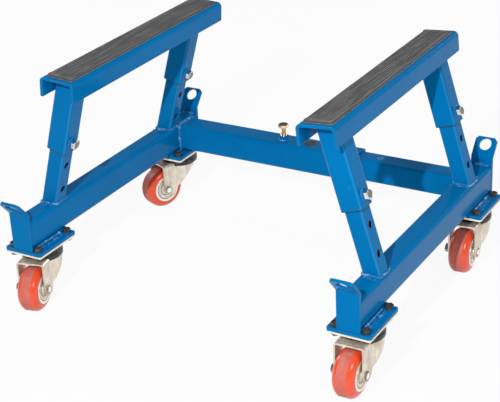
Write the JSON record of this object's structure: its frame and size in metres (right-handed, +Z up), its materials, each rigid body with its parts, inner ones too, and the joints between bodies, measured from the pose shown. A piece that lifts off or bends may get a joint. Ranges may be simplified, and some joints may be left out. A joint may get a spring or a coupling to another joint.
{
  "type": "shop dolly",
  "caption": "Blue steel shop dolly on red swivel casters, with a telescoping cross beam and rubber-padded cradles that slide on leaning posts.",
  "frame": {"origin": "middle of the floor outline, on the floor that the wheels stand on", "axes": "+X to the right along the cross beam, +Y to the back where the beam is, +Z up"},
  "size_m": [0.6962, 0.5912, 0.4149],
  "materials": {
    "blue_paint": "glossy powder coat",
    "pad_rubber": "matt ribbed rubber",
    "tyre_red": "glossy cast polyurethane, matt on the tread",
    "fork_zinc": "satin zinc plate",
    "hub_zinc": "bright zinc plate",
    "plate_zinc": "yellowish zinc plate",
    "bolt_zinc": "yellow zinc plate",
    "raceway_black": "semi-gloss black",
    "fastener_black": "black oxide",
    "plug_grey": "matt dark grey"
  },
  "bodies": {
    "left_frame": {"left_rail": "blue_paint", "left_risers": "blue_paint", "left_base_plates": "blue_paint", "left_caster_fasteners": "fastener_black", "left_front_end_plate": "blue_paint", "left_rear_end_plate": "blue_paint", "left_front_post": "blue_paint", "left_rear_post": "blue_paint", "front_left_top_plate": "plate_zinc", "front_left_raceway": "raceway_black", "rear_left_top_plate": "plate_zinc", "rear_left_raceway": "raceway_black", "outer_cross_tube": "blue_paint", "beam_plug": "plug_grey", "width_lock_nut": "blue_paint"},
    "right_frame": {"right_rail": "blue_paint", "right_risers": "blue_paint", "right_base_plates": "blue_paint", "right_caster_fasteners": "fastener_black", "right_front_end_plate": "blue_paint", "right_rear_end_plate": "blue_paint", "right_front_post": "blue_paint", "right_rear_post": "blue_paint", "front_right_top_plate": "plate_zinc", "front_right_raceway": "raceway_black", "rear_right_top_plate": "plate_zinc", "rear_right_raceway": "raceway_black", "inner_cross_tube": "blue_paint"},
    "left_cradle": {"left_channel": "blue_paint", "left_pad": "pad_rubber", "left_front_sleeve": "blue_paint", "left_rear_sleeve": "blue_paint", "left_lock_nuts": "blue_paint"},
    "right_cradle": {"right_channel": "blue_paint", "right_pad": "pad_rubber", "right_front_sleeve": "blue_paint", "right_rear_sleeve": "blue_paint", "right_lock_nuts": "blue_paint"},
    "width_lock": {"width_lock_bolt": "bolt_zinc"},
    "left_front_lock": {"left_front_lock_bolt": "bolt_zinc"},
    "left_rear_lock": {"left_rear_lock_bolt": "bolt_zinc"},
    "right_front_lock": {"right_front_lock_bolt": "bolt_zinc"},
    "right_rear_lock": {"right_rear_lock_bolt": "bolt_zinc"},
    "front_right_caster": {"front_right_fork": "fork_zinc", "front_right_axle": "hub_zinc"},
    "front_right_wheel": {"front_right_hub": "hub_zinc", "front_right_tyre": "tyre_red"},
    "front_left_caster": {"front_left_fork": "fork_zinc", "front_left_axle": "hub_zinc"},
    "front_left_wheel": {"front_left_hub": "hub_zinc", "front_left_tyre": "tyre_red"},
    "rear_right_caster": {"rear_right_fork": "fork_zinc", "rear_right_axle": "hub_zinc"},
    "rear_right_wheel": {"rear_right_hub": "hub_zinc", "rear_right_tyre": "tyre_red"},
    "rear_left_caster": {"rear_left_fork": "fork_zinc", "rear_left_axle": "hub_zinc"},
    "rear_left_wheel": {"rear_left_hub": "hub_zinc", "rear_left_tyre": "tyre_red"}
  },
  "joints": [
    {"name": "width_slide", "type": "slide", "parent": "left_frame", "child": "right_frame", "axis": [1, 0, 0], "range_m": [-0.12, 0.06]},
    {"name": "left_cradle_slide", "type": "slide", "parent": "left_frame", "child": "left_cradle", "axis": [0.284, 0, 0.9588], "range_m": [-0.097, 0]},
    {"name": "right_cradle_slide", "type": "slide", "parent": "right_frame", "child": "right_cradle", "axis": [-0.284, 0, 0.9588], "range_m": [-0.097, 0]},
    {"name": "width_lock_turn", "type": "hinge", "parent": "left_frame", "child": "width_lock", "pos_m": [-0.063, 0.23, 0.1885], "axis": [0, 0, 1], "continuous": true},
    {"name": "left_front_lock_turn", "type": "hinge", "parent": "left_cradle", "child": "left_front_lock", "pos_m": [-0.24174, -0.163, 0.27945], "axis": [0.9588, 0, -0.284], "continuous": true},
    {"name": "left_rear_lock_turn", "type": "hinge", "parent": "left_cradle", "child": "left_rear_lock", "pos_m": [-0.24174, 0.193, 0.27945], "axis": [0.9588, 0, -0.284], "continuous": true},
    {"name": "right_front_lock_turn", "type": "hinge", "parent": "right_cradle", "child": "right_front_lock", "pos_m": [0.29669, -0.163, 0.29217], "axis": [0.9588, 0, 0.284], "continuous": true},
    {"name": "right_rear_lock_turn", "type": "hinge", "parent": "right_cradle", "child": "right_rear_lock", "pos_m": [0.29669, 0.193, 0.29217], "axis": [0.9588, 0, 0.284], "continuous": true},
    {"name": "front_right_swivel", "type": "hinge", "parent": "right_frame", "child": "front_right_caster", "pos_m": [0.311, -0.2095, 0.0826], "axis": [0, 0, 1], "continuous": true},
    {"name": "front_right_spin", "type": "hinge", "parent": "front_right_caster", "child": "front_right_wheel", "pos_m": [0.31257, -0.25447, 0.039], "axis": [0.9994, 0.0349, 0], "continuous": true},
    {"name": "front_left_swivel", "type": "hinge", "parent": "left_frame", "child": "front_left_caster", "pos_m": [-0.299, -0.2095, 0.0826], "axis": [0, 0, 1], "continuous": true},
    {"name": "front_left_spin", "type": "hinge", "parent": "front_left_caster", "child": "front_left_wheel", "pos_m": [-0.28811, -0.25316, 0.039], "axis": [0.9703, 0.2419, 0], "continuous": true},
    {"name": "rear_right_swivel", "type": "hinge", "parent": "right_frame", "child": "rear_right_caster", "pos_m": [0.311, 0.2255, 0.0826], "axis": [0, 0, 1], "continuous": true},
    {"name": "rear_right_spin", "type": "hinge", "parent": "rear_right_caster", "child": "rear_right_wheel", "pos_m": [0.31531, 0.18071, 0.039], "axis": [0.9954, 0.0958, 0], "continuous": true},
    {"name": "rear_left_swivel", "type": "hinge", "parent": "left_frame", "child": "rear_left_caster", "pos_m": [-0.299, 0.2255, 0.0826], "axis": [0, 0, 1], "continuous": true},
    {"name": "rear_left_spin", "type": "hinge", "parent": "rear_left_caster", "child": "rear_left_wheel", "pos_m": [-0.3168, 0.18417, 0.039], "axis": [0.9184, -0.3955, 0], "continuous": true}
  ]
}
